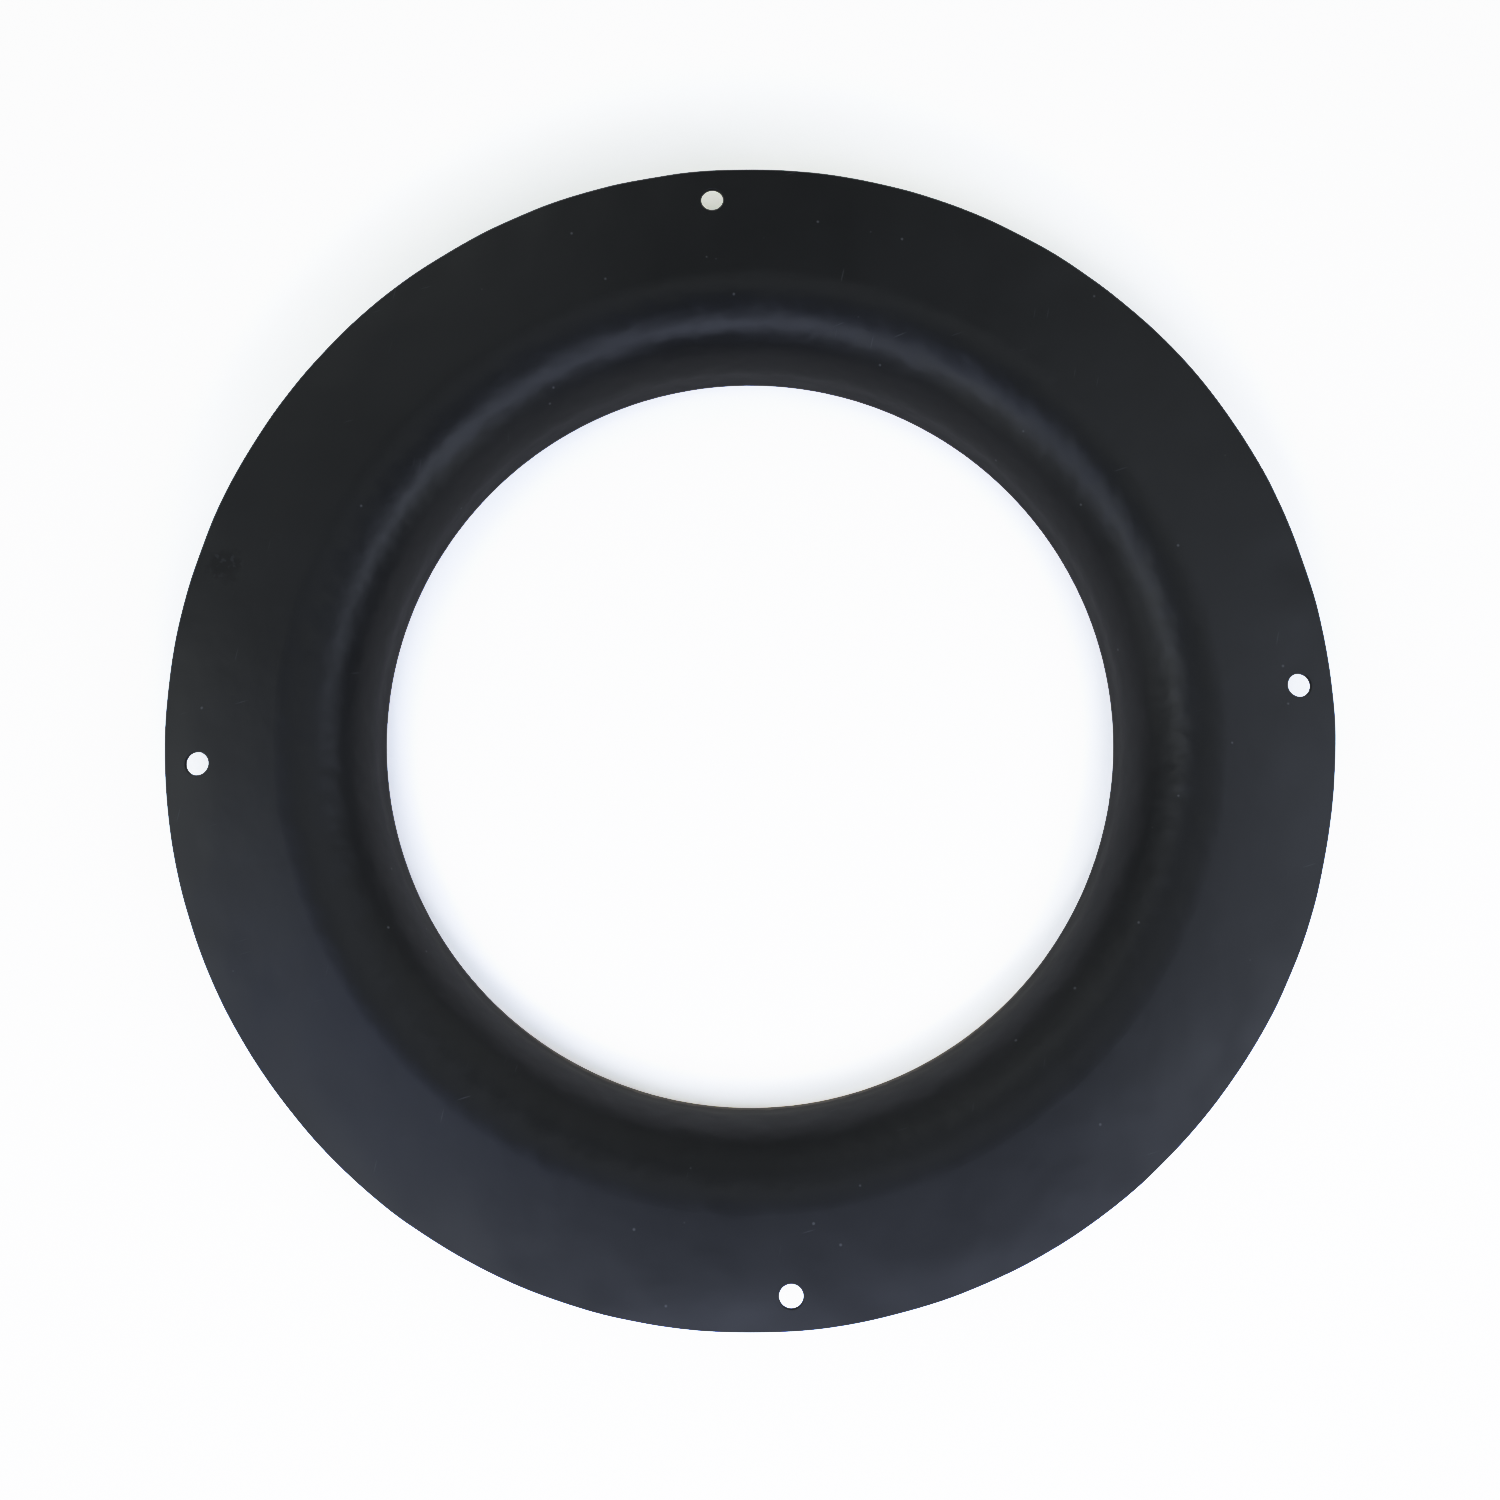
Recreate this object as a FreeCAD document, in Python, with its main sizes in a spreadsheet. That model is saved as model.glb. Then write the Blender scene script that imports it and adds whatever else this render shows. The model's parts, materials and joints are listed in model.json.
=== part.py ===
"""Flanged bellmouth ring, spun in one piece from a disc of sheet steel.

A flat round flange with four screw holes turns through a quarter circle into a short straight
collar, the throat.  The ring stands on the throat's rim: the origin is the centre of the rim, and
+Z is the ring's axis, out of the flange's front face.
"""

import FreeCAD
import Part
import math
import os

import Sketcher

# Driving dimensions in millimetres, and the number of holes.  Each name is an alias in the sheet.
DIMENSIONS = {
    "flange_radius": 143.0,
    "throat_radius": 96.5,
    "bend_radius": 20.0,
    "collar_length": 8.0,
    "sheet_thickness": 1.0,
    "hole_circle_radius": 135.0,
    "hole_radius": 2.9,
    "hole_count": 4,
}

PARTS_FOLDER = "parts"
RING_NAME = "bellmouth_ring"
VOLUME_TOLERANCE = 1e-3


def add_dimension_sheet(doc):
    """Keep the driving dimensions in a spreadsheet, one aliased cell a row."""
    sheet = doc.addObject("Spreadsheet::Sheet", "Dimensions")
    for row, (alias, value) in enumerate(DIMENSIONS.items(), start=1):
        sheet.set(f"A{row}", alias)
        sheet.set(f"B{row}", str(value))
        sheet.setAlias(f"B{row}", alias)
    doc.recompute()


def add_sketch(body, name, plane_role):
    """Start a sketch on one of the body's own origin planes."""
    sketch = body.newObject("Sketcher::SketchObject", name)
    plane = next(item for item in body.Origin.OriginFeatures if item.Role == plane_role)
    sketch.AttachmentSupport = [(plane, "")]
    sketch.MapMode = "FlatFace"
    return sketch


def bind(sketch, alias, constraint):
    """Add a dimension to a sketch and bind it to the cell of the same name."""
    index = sketch.addConstraint(constraint)
    sketch.renameConstraint(index, alias)
    sketch.setExpression(f"Constraints.{alias}", f"Dimensions.{alias}")


def draw_ring_section(body):
    """Draw the sheet's section, x as radius and y as height above the throat's rim.

    The outline goes up the throat's inner wall, round the front of the bend, out along the
    flange's front, down its edge, and back along the other side of the sheet to the rim.
    """
    inner = DIMENSIONS["throat_radius"]
    outer = DIMENSIONS["flange_radius"]
    bend = DIMENSIONS["bend_radius"]
    collar = DIMENSIONS["collar_length"]
    sheet = DIMENSIONS["sheet_thickness"]
    bend_centre = FreeCAD.Vector(inner + bend, collar, 0)
    front = collar + bend

    def line(start, end):
        return Part.LineSegment(FreeCAD.Vector(*start, 0), FreeCAD.Vector(*end, 0))

    def quarter(radius):
        circle = Part.Circle(bend_centre, FreeCAD.Vector(0, 0, 1), radius)
        return Part.ArcOfCircle(circle, math.pi / 2, math.pi)

    sketch = add_sketch(body, "RingSection", "XZ_Plane")
    inner_wall = sketch.addGeometry(line((inner, 0), (inner, collar)))
    front_bend = sketch.addGeometry(quarter(bend))
    front_face = sketch.addGeometry(line((inner + bend, front), (outer, front)))
    flange_edge = sketch.addGeometry(line((outer, front), (outer, front - sheet)))
    back_face = sketch.addGeometry(line((outer, front - sheet), (inner + bend, front - sheet)))
    back_bend = sketch.addGeometry(quarter(bend - sheet))
    outer_wall = sketch.addGeometry(line((inner + sheet, collar), (inner + sheet, 0)))
    rim = sketch.addGeometry(line((inner + sheet, 0), (inner, 0)))

    start, end, centre = 1, 2, 3
    horizontal_axis, origin = -1, (-1, 1)
    for first, second in (
        ((inner_wall, end), (front_bend, end)),
        ((front_bend, start), (front_face, start)),
        ((back_face, end), (back_bend, start)),
        ((back_bend, end), (outer_wall, start)),
    ):
        sketch.addConstraint(Sketcher.Constraint("Tangent", *first, *second))
    for first, second in (
        ((front_face, end), (flange_edge, start)),
        ((flange_edge, end), (back_face, start)),
        ((outer_wall, end), (rim, start)),
        ((rim, end), (inner_wall, start)),
        ((front_bend, centre), (back_bend, centre)),
    ):
        sketch.addConstraint(Sketcher.Constraint("Coincident", *first, *second))
    for upright in (inner_wall, flange_edge, outer_wall):
        sketch.addConstraint(Sketcher.Constraint("Vertical", upright))
    for level in (front_face, back_face, rim):
        sketch.addConstraint(Sketcher.Constraint("Horizontal", level))
    sketch.addConstraint(Sketcher.Constraint("PointOnObject", rim, end, horizontal_axis))

    bind(sketch, "throat_radius", Sketcher.Constraint("DistanceX", *origin, inner_wall, start, inner))
    bind(sketch, "flange_radius", Sketcher.Constraint("DistanceX", *origin, flange_edge, end, outer))
    bind(sketch, "bend_radius", Sketcher.Constraint("Radius", front_bend, bend))
    collar_height = Sketcher.Constraint("DistanceY", inner_wall, start, inner_wall, end, collar)
    bind(sketch, "collar_length", collar_height)
    bind(sketch, "sheet_thickness", Sketcher.Constraint("DistanceX", rim, end, rim, start, sheet))
    return sketch


def draw_hole(body):
    """Draw one screw hole on the +X axis, looking along the ring's axis."""
    hole_circle = DIMENSIONS["hole_circle_radius"]
    hole = DIMENSIONS["hole_radius"]
    sketch = add_sketch(body, "ScrewHoleSketch", "XY_Plane")
    centre = FreeCAD.Vector(hole_circle, 0, 0)
    circle = sketch.addGeometry(Part.Circle(centre, FreeCAD.Vector(0, 0, 1), hole))
    sketch.addConstraint(Sketcher.Constraint("PointOnObject", circle, 3, -1))
    bind(sketch, "hole_circle_radius", Sketcher.Constraint("DistanceX", -1, 1, circle, 3, hole_circle))
    bind(sketch, "hole_radius", Sketcher.Constraint("Radius", circle, hole))
    return sketch


def add_bellmouth_ring(doc):
    """Spin the section into the ring, pierce one hole and repeat it round the flange."""
    body = doc.addObject("PartDesign::Body", "BellmouthRing")
    body.Label = RING_NAME
    body.Placement = FreeCAD.Placement()

    section = draw_ring_section(body)
    spun = body.newObject("PartDesign::Revolution", "SpunSheet")
    spun.Profile = section
    spun.ReferenceAxis = (section, ["V_Axis"])
    spun.Angle = 360
    doc.recompute()

    hole_sketch = draw_hole(body)
    hole = body.newObject("PartDesign::Pocket", "ScrewHole")
    hole.Profile = hole_sketch
    hole.Type = "ThroughAll"
    hole.Reversed = True
    doc.recompute()

    holes = body.newObject("PartDesign::PolarPattern", "ScrewHoles")
    holes.Originals = [hole]
    holes.Axis = (hole_sketch, ["N_Axis"])
    holes.Angle = 360
    holes.setExpression("Occurrences", "Dimensions.hole_count")
    body.Tip = holes
    doc.recompute()

    check_holes(spun.Shape.Volume, body.Shape.Volume)
    return body


def check_holes(volume_before, volume_after):
    """Make sure that every hole goes through the flange, by the volume that it takes away."""
    plug = math.pi * DIMENSIONS["hole_radius"] ** 2 * DIMENSIONS["sheet_thickness"]
    expected = DIMENSIONS["hole_count"] * plug
    removed = volume_before - volume_after
    if abs(removed - expected) > VOLUME_TOLERANCE:
        raise RuntimeError(f"the holes took away {removed:.3f} mm3 and not {expected:.3f} mm3")


def check_document(doc):
    """Stop if any object of the document failed to compute."""
    for item in doc.Objects:
        if "Invalid" in item.State or "Error" in item.State:
            raise RuntimeError(f"{item.Label} is in state {item.State}")


def export_part(part):
    """Write one sub-part's solid to a STEP file that carries its label."""
    shape = part.Shape
    if shape.isNull() or not shape.isValid() or len(shape.Solids) != 1:
        raise RuntimeError(f"{part.Label} isn't one valid solid")
    shape.exportStep(os.path.join(PARTS_FOLDER, f"{part.Label}.step"))
    size = shape.optimalBoundingBox(False, False)
    print(
        f"{part.Label}: {size.XLength:.2f} x {size.YLength:.2f} x {size.ZLength:.2f} mm, "
        f"{shape.Volume / 1000:.2f} cm3"
    )


def main():
    doc = FreeCAD.newDocument("BellmouthRing")
    add_dimension_sheet(doc)
    parts = [add_bellmouth_ring(doc)]
    doc.recompute()
    check_document(doc)
    os.makedirs(PARTS_FOLDER, exist_ok=True)
    for part in parts:
        export_part(part)


main()
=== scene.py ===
"""Looks of the flanged bellmouth ring: a satin black spun sheet ring lying on a white table."""

import json
import math

import bpy
import numpy as np
from mathutils import Matrix, Vector, noise


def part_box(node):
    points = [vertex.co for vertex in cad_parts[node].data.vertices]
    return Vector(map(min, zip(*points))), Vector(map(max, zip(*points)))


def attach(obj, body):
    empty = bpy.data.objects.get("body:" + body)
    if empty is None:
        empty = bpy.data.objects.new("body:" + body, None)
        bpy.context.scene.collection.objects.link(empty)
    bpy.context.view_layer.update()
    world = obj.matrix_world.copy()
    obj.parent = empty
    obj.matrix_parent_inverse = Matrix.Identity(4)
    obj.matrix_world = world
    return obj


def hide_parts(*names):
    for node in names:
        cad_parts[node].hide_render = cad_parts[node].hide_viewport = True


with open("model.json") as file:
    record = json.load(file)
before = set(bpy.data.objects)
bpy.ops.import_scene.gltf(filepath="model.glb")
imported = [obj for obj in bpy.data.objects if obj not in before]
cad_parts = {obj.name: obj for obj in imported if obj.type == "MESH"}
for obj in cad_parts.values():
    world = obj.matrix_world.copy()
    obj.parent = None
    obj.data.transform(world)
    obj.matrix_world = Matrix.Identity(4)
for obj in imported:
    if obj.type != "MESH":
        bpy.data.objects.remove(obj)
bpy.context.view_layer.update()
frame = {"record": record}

NODE = "bellmouth_ring"
MM = 0.001

# ---------------------------------------------------------------------------------------------
# Sizes, all in metres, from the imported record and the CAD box
# ---------------------------------------------------------------------------------------------
MOUNTS = {mount["name"]: mount for mount in frame["record"]["mounts"]}
NODE_LOW, NODE_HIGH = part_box(NODE)

FLANGE_RADIUS = (NODE_HIGH[0] - NODE_LOW[0]) / 2
FRONT = NODE_HIGH[2]
THROAT_RADIUS = MOUNTS["throat"]["dims"]["r_mm"] * MM
COLLAR_RADIUS = MOUNTS["collar_outside"]["dims"]["r_mm"] * MM
COLLAR_LENGTH = MOUNTS["throat"]["dims"]["length_mm"] * MM
SHEET = COLLAR_RADIUS - THROAT_RADIUS
BACK = FRONT - SHEET
BEND_RADIUS = FRONT - COLLAR_LENGTH
BEND_START = THROAT_RADIUS + BEND_RADIUS
HOLE_CIRCLE = MOUNTS["screw_holes"]["dims"]["pcd_mm"] * MM / 2
HOLE_RADIUS = MOUNTS["screw_holes"]["dims"]["hole_r_mm"] * MM
HOLE_COUNT = MOUNTS["screw_holes"]["dims"]["count"]

# How finely the ring is drawn.  A patch is the block of the grid round a screw hole, drawn as rings
# of quads instead: its half width and its height in grid steps, its rings, a power that crowds
# them towards the hole, and the least room between the patch and the flange's edge.
RING_STEPS = 480
BEND_STEPS = 32
COLLAR_STEPS = 6
EDGE_STEPS = 3
FLANGE_ROWS = 15
PATCH_HALF_STEPS = 6
PATCH_ROWS = 8
PATCH_RINGS = 6
PATCH_CROWDING = 0.75
PATCH_MARGIN = 0.4 * MM

# The sheet's edges are a little rounded where it was sheared and painted
EDGE_ROUND = 0.22 * MM

# The thin flange hangs below flat, more towards its edge.  The droop sets in near the edge.  The
# waves are FLANGE_WAVE times a middle share and a sway to either side of it, which is a wide noise
# and a finer one.  Slopes are measured over a step to each side.
FLANGE_DROOP = 0.13 * MM
DROOP_POWER = 5
FLANGE_WAVE = 1.05 * MM
WAVE_POWER = 1.5
WAVE_MIDDLE = 0.5
WAVE_SWAY = 0.42
WAVE_SPACING = 27 * MM
WAVE_PLACE = Vector((0, 0, 4.7))
FINE_WAVE_SHARE = 0.6
FINE_WAVE_SCALE = 2.2
SLOPE_STEP = 0.5 * MM


# ---------------------------------------------------------------------------------------------
# The ring's mesh
# ---------------------------------------------------------------------------------------------
def arc(centre, radius, start, end, steps, side=1.0):
    """Points and normals along an arc of the section; side is -1 where the metal is outside it."""
    out = []
    for step in range(steps + 1):
        angle = math.radians(start + (end - start) * step / steps)
        out_r, out_z = math.cos(angle), math.sin(angle)
        point = (centre[0] + radius * out_r, centre[1] + radius * out_z)
        out.append((*point, side * out_r, side * out_z))
    return out


def straight(start, end, steps, normal):
    """Points between two ends of a straight stretch of the section, the ends left out."""
    return [
        (
            start[0] + (end[0] - start[0]) * step / steps,
            start[1] + (end[1] - start[1]) * step / steps,
            *normal,
        )
        for step in range(1, steps)
    ]


def flange_radii():
    """Radii of the flange's rows, even up to the holes' patches and even across them."""
    half_width = PATCH_HALF_STEPS * 2 * math.pi / RING_STEPS * HOLE_CIRCLE
    room = FLANGE_RADIUS - EDGE_ROUND - HOLE_CIRCLE - PATCH_MARGIN
    half_height = min(half_width * PATCH_ROWS / PATCH_HALF_STEPS / 2, room)
    inner, outer = HOLE_CIRCLE - half_height, HOLE_CIRCLE + half_height
    rows = list(np.linspace(BEND_START, inner, FLANGE_ROWS - PATCH_ROWS + 1)[1:])
    patch_start = len(rows) - 1
    rows += list(np.linspace(inner, outer, PATCH_ROWS + 1)[1:])
    return rows, patch_start


def ring_section():
    """The closed section, and where the hole patches' rows begin on the flange's front and back.

    A point is its radius and height, and its normal's outward and upward part.  The section runs up
    the throat's inner wall, over the bend and the flange's front, round the flange's edge, and back
    underneath to the rim.
    """
    e = EDGE_ROUND
    centre = (BEND_START, COLLAR_LENGTH)
    rows, patch_start = flange_radii()
    section = []
    section += arc((THROAT_RADIUS + e, e), e, 270, 180, EDGE_STEPS)
    section += straight((THROAT_RADIUS, e), (THROAT_RADIUS, COLLAR_LENGTH), COLLAR_STEPS, (-1, 0))
    section += arc(centre, BEND_RADIUS, 180, 90, BEND_STEPS)
    front_patch = len(section) + patch_start
    section += [(radius, FRONT, 0, 1) for radius in rows]
    section += arc((FLANGE_RADIUS - e, FRONT - e), e, 90, 0, EDGE_STEPS)
    section += arc((FLANGE_RADIUS - e, BACK + e), e, 0, -90, EDGE_STEPS)
    back_patch = len(section) + len(rows) - 1 - patch_start
    section += [(radius, BACK, 0, -1) for radius in reversed(rows)]
    section += arc(centre, BEND_RADIUS - SHEET, 90, 180, BEND_STEPS, side=-1)
    section += straight((COLLAR_RADIUS, COLLAR_LENGTH), (COLLAR_RADIUS, e), COLLAR_STEPS, (1, 0))
    section += arc((COLLAR_RADIUS - e, e), e, 0, -90, EDGE_STEPS)
    return section, front_patch, back_patch


class RingMesh:
    """Collects vertices with their exact normals, and faces."""

    def __init__(self):
        self.points = []
        self.normals = []
        self.faces = []

    def add(self, point, normal):
        self.points.append(point)
        self.normals.append(normal)
        return len(self.points) - 1

    def strip(self, first, second):
        """Quads between two equally long closed loops of vertices."""
        for i in range(len(first)):
            j = (i + 1) % len(first)
            self.faces.append((first[i], first[j], second[j], second[i]))


def turned(radius, height, normal_r, normal_z, angle):
    """A point of the section, turned round the ring's axis, and its normal."""
    cos, sin = math.cos(angle), math.sin(angle)
    return (radius * cos, radius * sin, height), (normal_r * cos, normal_r * sin, normal_z)


def patch_border(grid, row, middle, towards_edge):
    """The grid's vertices round one hole patch, from the one straight out from the hole."""
    step = 1 if towards_edge else -1
    inner, outer = row, row + step * PATCH_ROWS
    half = PATCH_HALF_STEPS

    def at(r, k):
        return grid[r][k % RING_STEPS]

    border = [at(outer, middle + k) for k in range(half)]
    border += [at(outer - step * r, middle + half) for r in range(PATCH_ROWS)]
    border += [at(inner, middle + half - k) for k in range(2 * half)]
    border += [at(inner + step * r, middle - half) for r in range(PATCH_ROWS)]
    border += [at(outer, middle - half + k) for k in range(half)]
    return border


def hole_loop(mesh, angle, count, radius, height, lean):
    """A circle of vertices round a hole's axis; lean is the normal's (outward, upward) part."""
    centre = Vector((HOLE_CIRCLE * math.cos(angle), HOLE_CIRCLE * math.sin(angle), height))
    loop = []
    for i in range(count):
        turn = angle + 2 * math.pi * i / count
        out = Vector((math.cos(turn), math.sin(turn), 0))
        normal = out * lean[0] + Vector((0, 0, lean[1]))
        loop.append(mesh.add(tuple(centre + out * radius), tuple(normal)))
    return loop


def add_patch(mesh, border, loop, facing):
    """Rings of quads from a patch's border in to the hole's circle."""
    previous = border
    for ring in range(1, PATCH_RINGS):
        part = (ring / PATCH_RINGS) ** PATCH_CROWDING
        current = []
        for start, end in zip(border, loop):
            point = Vector(mesh.points[start]).lerp(Vector(mesh.points[end]), part)
            current.append(mesh.add(tuple(point), (0, 0, facing)))
        mesh.strip(previous, current)
        previous = current
    mesh.strip(previous, loop)


def add_hole(mesh, grid, front_patch, back_patch, middle):
    """One punched hole: patches on both faces of the flange, and a wall with rounded edges."""
    angle = 2 * math.pi * middle / RING_STEPS
    front_border = patch_border(grid, front_patch, middle, True)
    back_border = patch_border(grid, back_patch, middle, False)
    count = len(front_border)
    loops = []
    for height, side in ((FRONT, 1), (BACK, -1)):
        steps = range(EDGE_STEPS + 1) if side > 0 else range(EDGE_STEPS, -1, -1)
        for step in steps:
            lean = math.radians(90 * step / EDGE_STEPS)
            radius = HOLE_RADIUS + EDGE_ROUND * (1 - math.sin(lean))
            drop = EDGE_ROUND * (1 - math.cos(lean))
            normal = (-math.sin(lean), side * math.cos(lean))
            loops.append(hole_loop(mesh, angle, count, radius, height - side * drop, normal))
    for upper, lower in zip(loops, loops[1:]):
        mesh.strip(upper, lower)
    add_patch(mesh, front_border, loops[0], 1)
    add_patch(mesh, back_border[::-1], loops[-1][::-1], -1)


def dip(x, y):
    """How far the flange hangs below flat at a place: nothing at the bend, most at the edge."""
    radius = math.hypot(x, y)
    reach = min(max((radius - BEND_START) / (FLANGE_RADIUS - BEND_START), 0.0), 1.0)
    place = Vector((x, y, 0)) / WAVE_SPACING
    wave = noise.noise(place + WAVE_PLACE) + FINE_WAVE_SHARE * noise.noise(FINE_WAVE_SCALE * place)
    depth = FLANGE_WAVE * (WAVE_MIDDLE + WAVE_SWAY * wave)
    return -FLANGE_DROOP * reach ** DROOP_POWER - depth * reach ** WAVE_POWER


def dipped(point, normal):
    """A vertex and its normal moved with the flange's dip."""
    x, y, z = point
    if math.hypot(x, y) < BEND_START:
        return point, normal
    slope_x = (dip(x + SLOPE_STEP, y) - dip(x - SLOPE_STEP, y)) / (2 * SLOPE_STEP)
    slope_y = (dip(x, y + SLOPE_STEP) - dip(x, y - SLOPE_STEP)) / (2 * SLOPE_STEP)
    tilted = Vector((normal[0] - slope_x * normal[2], normal[1] - slope_y * normal[2], normal[2]))
    return (x, y, z + dip(x, y)), tuple(tilted.normalized())


def build_ring():
    """The whole ring as one closed mesh with exact normals."""
    mesh = RingMesh()
    section, front_patch, back_patch = ring_section()
    angles = [2 * math.pi * k / RING_STEPS for k in range(RING_STEPS)]
    grid = [[mesh.add(*turned(*corner, angle)) for angle in angles] for corner in section]

    middles = [round(RING_STEPS * i / HOLE_COUNT) for i in range(HOLE_COUNT)]
    beside = range(-PATCH_HALF_STEPS, PATCH_HALF_STEPS)
    open_steps = {(middle + k) % RING_STEPS for middle in middles for k in beside}
    open_rows = set(range(front_patch, front_patch + PATCH_ROWS))
    open_rows |= set(range(back_patch - PATCH_ROWS, back_patch))
    for r, row in enumerate(grid):
        beyond = grid[(r + 1) % len(grid)]
        for k in range(RING_STEPS):
            if r in open_rows and k in open_steps:
                continue
            j = (k + 1) % RING_STEPS
            mesh.faces.append((row[k], beyond[k], beyond[j], row[j]))
    for middle in middles:
        add_hole(mesh, grid, front_patch, back_patch, middle)

    placed = [dipped(point, normal) for point, normal in zip(mesh.points, mesh.normals)]
    data = bpy.data.meshes.new("spun_ring")
    data.from_pydata([point for point, _ in placed], [], mesh.faces)
    data.shade_smooth()
    data.normals_split_custom_set_from_vertices([normal for _, normal in placed])
    data.update()
    ring = bpy.data.objects.new("spun_ring", data)
    bpy.context.scene.collection.objects.link(ring)
    return ring


# ---------------------------------------------------------------------------------------------
# Materials: places and sizes are in millimetres, and noise scales are per millimetre
# ---------------------------------------------------------------------------------------------
# The paint's patterns: broad clouds, blotches, fine grain, orange peel, dents, and the bands that
# spinning left, which follow the radius alone
CLOUD_SCALE = 1 / 38
BLOTCH_SCALE = 1 / 9
GRAIN_SCALE = 1 / 0.5
PEEL_SCALE = 1 / 1.1
DENT_SCALE = 1 / 7
BAND_SCALE = 0.9
# Nearly all of a noise's values lie between these
NOISE_LOW = 0.3
NOISE_HIGH = 0.7

# How high they and the marks stand, how thick the paint is, the share of the dents that is left on
# the flange, and the radii between which they fade past the bend
PEEL_HEIGHT = 0.006
BAND_HEIGHT = 0.003
DENT_HEIGHT = 0.36
SPECK_HEIGHT = 0.03
SCRATCH_DEPTH = 0.01
PAINT_THICKNESS = 0.04
FLANGE_DENTS = 0.22
DENTS_FADE_FROM = BEND_START / MM - 8
DENTS_FADE_TO = BEND_START / MM + 3

# The paint's roughness from the clouds' low parts to their high ones, and what the rest adds
ROUGH_LOW = 0.365
ROUGH_HIGH = 0.405
BLOTCH_ROUGH = 0.08
BAND_ROUGH = 0.05
GRAIN_ROUGH = 0.04
SCRATCH_ROUGH = 0.12
SMUDGE_ROUGH = 0.14

# Colours, and how strongly each mark covers the paint
PAINT_DARK = (0.0087, 0.0089, 0.0094, 1)
PAINT_PALE = (0.0120, 0.0123, 0.0130, 1)
SHEARED_COLOR = (0.045, 0.047, 0.050, 1)
SCRATCH_COLOR = (0.060, 0.062, 0.066, 1)
SMUDGE_COLOR = (0.0020, 0.0021, 0.0022, 1)
FLECK_COLOR = (0.028, 0.029, 0.032, 1)
SPECK_COLOR = (0.110, 0.112, 0.116, 1)
# Bare steel where the paint is rubbed off the throat's rim. On the rim's near side the same tan
# colours, metallic share and noise are painted shade that stands in for the table's contact shadow
STEEL_AND_SHADE_DARK = (0.25, 0.205, 0.165, 1)
STEEL_AND_SHADE_PALE = (0.40, 0.345, 0.29, 1)
STEEL_SCALE = 0.8
STEEL_METALLIC = 0.85
GRAIN_SHARE = 0.35
SHEARED_COVER = 0.7
SCRATCH_COVER = 0.8
SMUDGE_COVER = 1.0
FLECK_COVER = 0.7
SPECK_COVER = 0.8

# How high the band along the throat's rim reaches. On most of the rim it is paint rubbed off the
# cut edge. On its near side it is wider, and there it is painted shade that stands in for the table's
# contact shadow. Also between which cosines of the angle from the near side it grows, by which
# factors its upper limit strays, and where its soft edge lies as shares of its height
RIM_WEAR_SLIGHT = 0.5
RIM_SHADE_DEEP = 3.0
RIM_SHADE_FROM = 0.55
RIM_SHADE_FULL = 0.95
RIM_STRAY_SCALE = 0.45
RIM_STRAY = 1.3
RIM_STRAY_LEAST = 0.35
RIM_EDGE_FROM = 0.75
RIM_EDGE_TO = 1.05

# Where the paint turns paler at the flange's sheared edge, and how patchy that is
SHEARED_FROM = FLANGE_RADIUS / MM - 0.5
SHEARED_FULL = FLANGE_RADIUS / MM - 0.05
SHEARED_PATCH_SCALE = 0.12
SHEARED_PATCH_LOW = 0.4
SHEARED_PATCH_HIGH = 0.6
SHEARED_LEAST = 0.25

# Dust specks: how far apart they may be, their radius inside and outside their soft edge, and the
# share of the places that has none
SPECK_SPACING = 7.0
SPECK_INSIDE = 0.2
SPECK_OUTSIDE = 0.42
SPECKS_LEFT_OUT = 0.45

# Scratches: the cells they lie in, their half width as a share of a cell inside and outside their
# soft edge, the share of the cells that has none, the noise that groups them, and each set's
# direction in degrees and offset
SCRATCH_CELL = (14, 0.9, 14)
SCRATCH_INSIDE = 0.06
SCRATCH_OUTSIDE = 0.16
SCRATCHES_LEFT_OUT = 0.90
SCRATCH_GROUP_SCALE = 1 / 26
SCRATCH_GROUP_LOW = 0.50
SCRATCH_GROUP_HIGH = 0.60
SCRATCH_SETS = ((12, 31), (74, 84))

# A ragged smudge on the flange's front: how far out, how far round from +X in degrees, its size,
# how much its outline strays, how wide its soft edge is inside and outside its size, and the noise
# that leaves paler flecks in it
STAIN_CIRCLE = 136.0
STAIN_TURN = 159.0
STAIN_RADIUS = 5.2
STAIN_STRAY = 7.0
STAIN_STRAY_SCALE = 0.35
STAIN_INSIDE = 2.6
STAIN_OUTSIDE = 0.6
FLECK_SCALE = 0.55
FLECK_LOW = 0.56
FLECK_HIGH = 0.66


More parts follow.
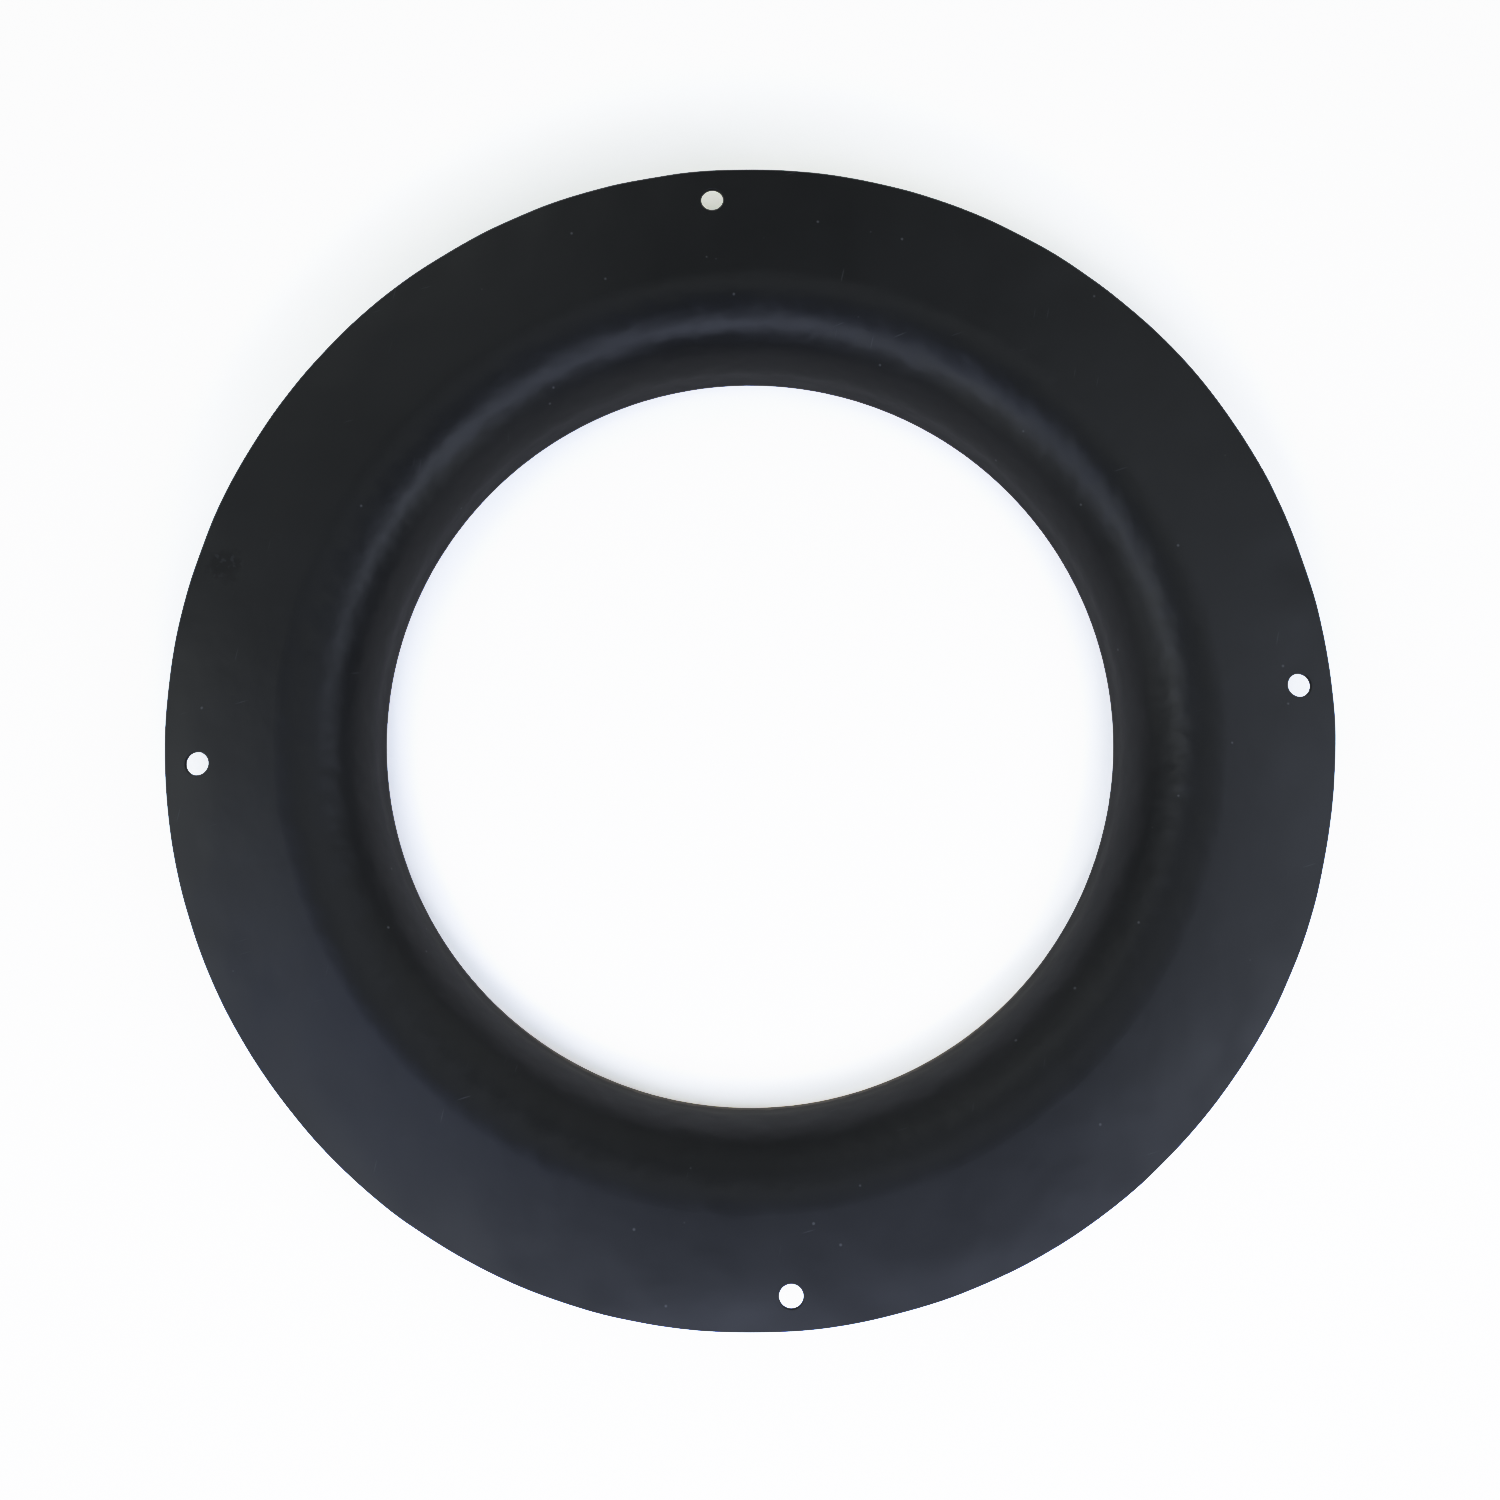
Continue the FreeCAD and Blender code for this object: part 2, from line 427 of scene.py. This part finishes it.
class Nodes:
    """A short way to write a node tree."""

    def __init__(self, tree):
        self.tree = tree
        tree.nodes.clear()

    def add(self, kind, inputs=None, **settings):
        """Add a node, set its properties, and then set or link its inputs, by name or number."""
        node = self.tree.nodes.new(kind)
        for name, value in settings.items():
            setattr(node, name, value)
        for name, value in (inputs or {}).items():
            if isinstance(value, bpy.types.NodeSocket):
                self.tree.links.new(value, node.inputs[name])
            else:
                node.inputs[name].default_value = value
        return node

    def math(self, operation, first, second=0.0, third=0.0):
        inputs = {0: first, 1: second, 2: third}
        return self.add("ShaderNodeMath", inputs, operation=operation).outputs[0]

    def ramp(self, value, low, high, start=0.0, end=1.0, smooth=True):
        """Map low..high to start..end, held at both ends."""
        kind = "SMOOTHSTEP" if smooth else "LINEAR"
        inputs = {0: value, 1: low, 2: high, 3: start, 4: end}
        return self.add("ShaderNodeMapRange", inputs, interpolation_type=kind).outputs[0]

    def noise(self, where, scale, detail):
        inputs = {"Vector": where, "Scale": scale, "Detail": detail, "Roughness": 0.5}
        return self.add("ShaderNodeTexNoise", inputs).outputs["Fac"]

    def centred_noise(self, where, scale, detail):
        """Noise moved to lie evenly about zero."""
        return self.math("SUBTRACT", self.noise(where, scale, detail), 0.5)

    def mix(self, factor, first, second):
        """Mix two colours: the node takes colours at inputs 6 and 7 and gives one at output 2."""
        inputs = {0: factor, 6: first, 7: second}
        return self.add("ShaderNodeMix", inputs, data_type="RGBA").outputs[2]


def distance_from_axis(n, where):
    """How far a place is from the ring's axis."""
    split = n.add("ShaderNodeSeparateXYZ", {0: where})
    flat = n.add("ShaderNodeCombineXYZ", {"X": split.outputs["X"], "Y": split.outputs["Y"]})
    return n.add("ShaderNodeVectorMath", {0: flat.outputs[0]}, operation="LENGTH").outputs["Value"]


def rim_wear_and_contact_shade(n, where, radius):
    """Where the paint is rubbed off the throat's cut edge, and a wider band on the near side that is
    painted shade standing in for the table's contact shadow.
    """
    split = n.add("ShaderNodeSeparateXYZ", {0: where})
    nearness = n.math("DIVIDE", n.math("MULTIPLY", split.outputs["Y"], -1.0), radius)
    # Slight wear all round grows to a wide band on the near side, which is painted shade for the
    # table's contact shadow
    band = n.ramp(nearness, RIM_SHADE_FROM, RIM_SHADE_FULL, RIM_WEAR_SLIGHT, RIM_SHADE_DEEP)
    stray = n.noise(where, RIM_STRAY_SCALE, detail=4.0)
    ragged = n.math("MULTIPLY_ADD", stray, RIM_STRAY, RIM_STRAY_LEAST)
    height = n.math("DIVIDE", split.outputs["Z"], n.math("MULTIPLY", band, ragged))
    return n.ramp(height, RIM_EDGE_FROM, RIM_EDGE_TO, 1.0, 0.0)


def dust_specks(n, where):
    """A few specks of dust under the paint, each less than a millimetre wide."""
    cells = n.add("ShaderNodeTexVoronoi", {"Vector": where, "Scale": 1 / SPECK_SPACING})
    inside, outside = SPECK_INSIDE / SPECK_SPACING, SPECK_OUTSIDE / SPECK_SPACING
    speck = n.ramp(cells.outputs["Distance"], inside, outside, 1.0, 0.0)
    chance = n.add("ShaderNodeSeparateColor", {0: cells.outputs["Color"]}).outputs[0]
    return n.math("MULTIPLY", speck, n.math("GREATER_THAN", chance, SPECKS_LEFT_OUT))


def scratches(n, where, turn, offset):
    """Hairline scratches that lie along one direction, in loose groups."""
    turned_place = n.add("ShaderNodeMapping", {
        "Vector": where,
        "Location": (offset, offset, offset),
        "Rotation": (0, 0, math.radians(turn)),
        "Scale": SCRATCH_CELL,
    }, vector_type="TEXTURE")
    cells = n.add("ShaderNodeTexVoronoi", {"Vector": turned_place.outputs[0], "Scale": 1.0})
    line = n.ramp(cells.outputs["Distance"], SCRATCH_INSIDE, SCRATCH_OUTSIDE, 1.0, 0.0)
    chance = n.add("ShaderNodeSeparateColor", {0: cells.outputs["Color"]}).outputs[0]
    line = n.math("MULTIPLY", line, n.math("GREATER_THAN", chance, SCRATCHES_LEFT_OUT))
    group = n.noise(where, SCRATCH_GROUP_SCALE, detail=1.0)
    group = n.ramp(group, SCRATCH_GROUP_LOW, SCRATCH_GROUP_HIGH)
    return n.math("MULTIPLY", line, group)


def stain(n, where):
    """A faint ragged smudge near the flange's edge, and the paler flecks in it."""
    turn = math.radians(STAIN_TURN)
    centre = (STAIN_CIRCLE * math.cos(turn), STAIN_CIRCLE * math.sin(turn), FRONT / MM)
    offset = n.add("ShaderNodeVectorMath", {0: where, 1: centre}, operation="SUBTRACT").outputs[0]
    distance = n.add("ShaderNodeVectorMath", {0: offset}, operation="LENGTH").outputs["Value"]
    stray = n.centred_noise(where, STAIN_STRAY_SCALE, detail=3.0)
    ragged = n.math("MULTIPLY_ADD", stray, STAIN_STRAY, distance)
    inside, outside = STAIN_RADIUS - STAIN_INSIDE, STAIN_RADIUS + STAIN_OUTSIDE
    smudge = n.ramp(ragged, inside, outside, 1.0, 0.0)
    pale = n.ramp(n.noise(where, FLECK_SCALE, detail=2.0), FLECK_LOW, FLECK_HIGH)
    return smudge, n.math("MULTIPLY", smudge, pale)


def paint_marks(n, where):
    """Each kind of mark on the paint: where it is, how well it covers, and its colour."""
    smudge, flecks = stain(n, where)
    first, second = (scratches(n, where, turn, offset) for turn, offset in SCRATCH_SETS)
    return {
        "scratch": (n.math("MAXIMUM", first, second), SCRATCH_COVER, SCRATCH_COLOR),
        "smudge": (smudge, SMUDGE_COVER, SMUDGE_COLOR),
        "fleck": (flecks, FLECK_COVER, FLECK_COLOR),
        "speck": (dust_specks(n, where), SPECK_COVER, SPECK_COLOR),
    }


def make_black_paint():
    """Satin black powder coat on steel, rubbed through along the throat's cut edge, with a wider tan
    band of painted shade along the rim's near side.
    """
    material = bpy.data.materials.new("satin_black_paint")
    material.use_nodes = True
    n = Nodes(material.node_tree)
    metres = n.add("ShaderNodeTexCoord").outputs["Object"]
    where = n.add("ShaderNodeVectorMath", {0: metres, "Scale": 1 / MM}, operation="SCALE").outputs[0]
    radius = distance_from_axis(n, where)
    band_place = n.add("ShaderNodeCombineXYZ", {"X": n.math("MULTIPLY", radius, BAND_SCALE)}).outputs[0]

    cloud = n.noise(where, CLOUD_SCALE, detail=3.0)
    blotch = n.centred_noise(where, BLOTCH_SCALE, detail=3.0)
    grain = n.noise(where, GRAIN_SCALE, detail=2.0)
    peel = n.noise(where, PEEL_SCALE, detail=1.0)
    dents = n.centred_noise(where, DENT_SCALE, detail=1.5)
    bands = n.noise(band_place, 1.0, detail=2.0)
    marks = paint_marks(n, where)
    bare_rim_and_shade = rim_wear_and_contact_shade(n, where, radius)

    shade = n.math("MULTIPLY_ADD", grain, GRAIN_SHARE, n.math("MULTIPLY", cloud, 1 - GRAIN_SHARE))
    color = n.mix(n.ramp(shade, NOISE_LOW, NOISE_HIGH, smooth=False), PAINT_DARK, PAINT_PALE)
    patches = n.noise(where, SHEARED_PATCH_SCALE, detail=3.0)
    patches = n.ramp(patches, SHEARED_PATCH_LOW, SHEARED_PATCH_HIGH, SHEARED_LEAST, 1.0)
    sheared = n.math("MULTIPLY", n.ramp(radius, SHEARED_FROM, SHEARED_FULL), patches)
    color = n.mix(n.math("MULTIPLY", sheared, SHEARED_COVER), color, SHEARED_COLOR)
    for mask, cover, mark_color in marks.values():
        color = n.mix(n.math("MULTIPLY", mask, cover), color, mark_color)
    # Tan band along the throat's rim: bare steel where the paint is rubbed off, and painted shade on
    # the near side
    steel = n.mix(n.noise(where, STEEL_SCALE, detail=3.0), STEEL_AND_SHADE_DARK, STEEL_AND_SHADE_PALE)
    color = n.mix(bare_rim_and_shade, color, steel)

    rough = n.ramp(cloud, NOISE_LOW, NOISE_HIGH, ROUGH_LOW, ROUGH_HIGH)
    for pattern, amount in (
        (blotch, BLOTCH_ROUGH),
        (n.math("SUBTRACT", bands, 0.5), BAND_ROUGH),
        (n.math("SUBTRACT", grain, 0.5), GRAIN_ROUGH),
        (marks["scratch"][0], SCRATCH_ROUGH),
        (marks["smudge"][0], SMUDGE_ROUGH),
    ):
        rough = n.math("MULTIPLY_ADD", pattern, amount, rough)

    dents_share = n.ramp(radius, DENTS_FADE_FROM, DENTS_FADE_TO, 1.0, FLANGE_DENTS)
    relief = n.math("MULTIPLY", bands, BAND_HEIGHT)
    for pattern, height in (
        (peel, PEEL_HEIGHT),
        (n.math("MULTIPLY", dents, dents_share), DENT_HEIGHT),
        (marks["speck"][0], SPECK_HEIGHT),
        (marks["scratch"][0], -SCRATCH_DEPTH),
        (bare_rim_and_shade, -PAINT_THICKNESS),
    ):
        relief = n.math("MULTIPLY_ADD", pattern, height, relief)
    bump = n.add("ShaderNodeBump", {"Height": relief, "Strength": 1.0, "Distance": MM})

    shader = n.add("ShaderNodeBsdfPrincipled", {
        "Base Color": color,
        "Metallic": n.math("MULTIPLY", bare_rim_and_shade, STEEL_METALLIC),
        "Roughness": rough,
        "Normal": bump.outputs[0],
    })
    n.add("ShaderNodeOutputMaterial", {"Surface": shader.outputs["BSDF"]})
    return material


# ---------------------------------------------------------------------------------------------
# Stage: floor, light and camera
# ---------------------------------------------------------------------------------------------
# The camera looks at a place a little towards the near side of the middle of the flange's front.
# Its tilt is from straight down, and its turn is that of the near side from -Y.
CAMERA_DISTANCE = 309.2 * MM
CAMERA_TILT = math.radians(6.90)
CAMERA_TURN = math.radians(4.10)
CAMERA_AIM_DROP = 6.37 * MM
CAMERA_LENS = 30.42
SENSOR_WIDTH = 36.0

# How far from the ring the two groups of softboxes stand, in metres, and the softboxes' tints
# from the bluest to nearly neutral
NEAR_DISTANCE = 0.45
FAR_DISTANCE = 1.0
BLUE = (0.47, 0.58, 1.0)
SKY = (0.66, 0.74, 1.0)
COOL = (0.74, 0.82, 1.0)
PALE = (0.86, 0.93, 1.0)
DAYLIGHT = (0.94, 1.0, 1.0)

# The floor's half width, where it starts to glow and where it glows fully, in metres, and how much
FLOOR_HALF = 6.0
GLOW_START = 0.25
GLOW_FULL = 0.90
BACKDROP_GLOW = 0.5
FLOOR_COLOR = (0.79, 0.75, 0.70, 1)
FLOOR_ROUGHNESS = 0.8
WHITE = (1, 1, 1, 1)

# Tones in the scene, what they are shown as, and how the curve bends there, and which of the
# view's curves is the one for all colours together
TONE_POINTS = ((0.06, 0.06, "VECTOR"), (0.12, 0.12, "VECTOR"), (0.30, 0.97, "AUTO_CLAMPED"))
ALL_COLORS = 3


def add_camera():
    """Nearly straight down on the front, from a little towards the near side of the flange."""
    data = bpy.data.cameras.new("camera")
    data.sensor_width = SENSOR_WIDTH
    data.lens = CAMERA_LENS
    camera = bpy.data.objects.new("camera", data)
    bpy.context.scene.collection.objects.link(camera)
    bpy.context.scene.camera = camera
    near_side = Vector((-math.sin(CAMERA_TURN), -math.cos(CAMERA_TURN), 0))
    middle = Vector((0, 0, FRONT))
    up = Vector((0, 0, 1))
    camera.location = middle + CAMERA_DISTANCE * (
        near_side * math.sin(CAMERA_TILT) + up * math.cos(CAMERA_TILT)
    )
    aim = middle + near_side * CAMERA_AIM_DROP
    look = (aim - camera.location).normalized()
    right = look.cross(-near_side).normalized()
    rise = right.cross(look)
    camera.rotation_mode = "QUATERNION"
    camera.rotation_quaternion = Matrix((right, rise, -look)).transposed().to_quaternion()


def add_softbox(name, turn, height, distance, width, watts, tint):
    """A square soft light that faces the ring.

    turn goes round from the near side, to the right first; height is above the table, both in
    degrees as seen from the middle of the flange's front.
    """
    round_angle, up_angle = math.radians(turn), math.radians(height)
    middle = Vector((0, 0, FRONT))
    away = Vector((
        math.sin(round_angle) * math.cos(up_angle),
        -math.cos(round_angle) * math.cos(up_angle),
        math.sin(up_angle),
    ))
    data = bpy.data.lights.new(name, "AREA")
    data.shape = "SQUARE"
    data.size = width
    data.energy = watts
    data.color = tint
    light = bpy.data.objects.new(name, data)
    light.location = middle + distance * away
    light.rotation_mode = "QUATERNION"
    light.rotation_quaternion = (-away).to_track_quat("-Z", "Y")
    light.visible_camera = False
    bpy.context.scene.collection.objects.link(light)


def add_lights():
    """Small softboxes close by, on the near side and beside it, and wider ones further off."""
    for name, turn, height, width, watts, tint in (
        ("key", 0, 42, 0.07, 0.17, SKY),
        ("near_front_right", 30, 40, 0.16, 0.28, SKY),
        ("near_right", 60, 40, 0.16, 0.23, COOL),
        ("near_side_right", 90, 40, 0.16, 0.13, COOL),
        ("near_left", 315, 40, 0.16, 0.13, DAYLIGHT),
        ("near_front_left", 337, 40, 0.16, 0.20, SKY),
        ("near_high_left", 300, 56, 0.22, 0.17, BLUE),
    ):
        add_softbox(name, turn, height, NEAR_DISTANCE, width, watts, tint)
    for name, turn, height, width, watts, tint in (
        ("overhead", 180, 80, 0.45, 0.29, DAYLIGHT),
        ("right_high", 120, 62, 0.45, 0.46, PALE),
        ("back_left", 210, 46, 0.45, 0.29, DAYLIGHT),
        ("left", 270, 46, 0.45, 1.10, DAYLIGHT),
        ("right_low", 120, 24, 0.85, 0.36, DAYLIGHT),
        ("back_right_low", 150, 24, 0.85, 0.72, DAYLIGHT),
        ("back_left_low", 210, 24, 0.85, 0.77, DAYLIGHT),
        ("left_low", 270, 14, 0.40, 0.38, DAYLIGHT),
        ("front_left_low", 312, 13, 0.40, 0.36, DAYLIGHT),
        ("front_right_low", 48, 13, 0.40, 0.36, DAYLIGHT),
    ):
        add_softbox(name, turn, height, FAR_DISTANCE, width, watts, tint)


def add_floor():
    """A white table, clear from below, that runs on into a lit background well beyond the ring."""
    data = bpy.data.meshes.new("floor")
    half = FLOOR_HALF
    corners = [(-half, -half, 0), (half, -half, 0), (half, half, 0), (-half, half, 0)]
    data.from_pydata(corners, [], [(0, 1, 2, 3)])
    floor = bpy.data.objects.new("floor", data)
    bpy.context.scene.collection.objects.link(floor)
    material = bpy.data.materials.new("white_table")
    material.use_nodes = True
    n = Nodes(material.node_tree)
    distance = distance_from_axis(n, n.add("ShaderNodeTexCoord").outputs["Object"])
    glow = n.ramp(distance, GLOW_START, GLOW_FULL, 0.0, BACKDROP_GLOW)
    shader = n.add("ShaderNodeBsdfPrincipled", {
        "Base Color": FLOOR_COLOR,
        "Roughness": FLOOR_ROUGHNESS,
        "Emission Color": WHITE,
        "Emission Strength": glow,
    })
    from_below = n.add("ShaderNodeNewGeometry").outputs["Backfacing"]
    clear = n.add("ShaderNodeBsdfTransparent").outputs[0]
    one_sided = n.add("ShaderNodeMixShader", {0: from_below, 1: shader.outputs["BSDF"], 2: clear})
    n.add("ShaderNodeOutputMaterial", {"Surface": one_sided.outputs[0]})
    material.cycles.emission_sampling = "NONE"
    data.materials.append(material)


def add_world():
    """A pale background that the camera sees but that lights nothing."""
    world = bpy.data.worlds.new("studio")
    bpy.context.scene.world = world
    world.use_nodes = True
    n = Nodes(world.node_tree)
    back = n.add("ShaderNodeBackground", {"Color": WHITE, "Strength": BACKDROP_GLOW})
    n.add("ShaderNodeOutputWorld", {"Surface": back.outputs[0]})
    world.cycles_visibility.diffuse = False
    world.cycles_visibility.glossy = False


def set_tones():
    """Keep dark tones as they are and lift the lit table to white, as a catalogue picture does."""
    view = bpy.context.scene.view_settings
    view.view_transform = "Standard"
    view.use_curve_mapping = True
    curve = view.curve_mapping.curves[ALL_COLORS]
    for tone, shown, bend in TONE_POINTS:
        point = curve.points.new(tone, shown)
        point.handle_type = bend
    curve.points[0].handle_type = "VECTOR"
    view.curve_mapping.update()


ring = build_ring()
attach(ring, "root")
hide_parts(NODE)
ring.data.materials.append(make_black_paint())
add_floor()
add_lights()
add_world()
add_camera()
set_tones()
